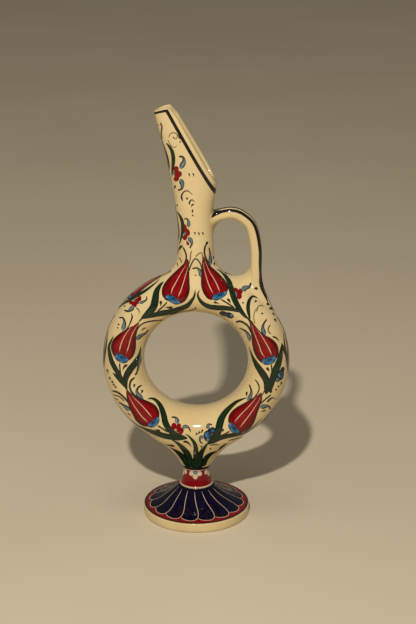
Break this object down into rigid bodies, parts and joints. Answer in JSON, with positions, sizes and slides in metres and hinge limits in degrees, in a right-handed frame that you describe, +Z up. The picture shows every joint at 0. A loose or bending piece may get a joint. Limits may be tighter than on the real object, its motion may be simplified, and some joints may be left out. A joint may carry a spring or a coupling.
{
  "type": "ring carafe",
  "caption": "Glazed ceramic ring carafe: a hollow upright ring on a pedestal foot, with a beaked neck to pour from and a loop handle to lift it.",
  "frame": {"origin": "centre of the foot's resting plane, on the axis of the pedestal and the ring", "axes": "+Z up, +X towards the handle, -X the way it pours, +Y across the ring's flat side"},
  "size_m": [0.14, 0.081, 0.3184],
  "materials": {
    "ivory_glaze": "clear gloss glaze over an ivory slip with painted ornament",
    "cobalt_glaze": "clear gloss glaze over dark blue petals, a red border and an ivory rim"
  },
  "bodies": {
    "root": {"pedestal_foot": "cobalt_glaze", "stem_saddle": "ivory_glaze", "ring_body": "ivory_glaze", "neck_beak": "ivory_glaze", "neck_fillet": "ivory_glaze", "handle": "ivory_glaze", "handle_top_fillet": "ivory_glaze", "handle_root_fillet": "ivory_glaze"}
  },
  "joints": []
}
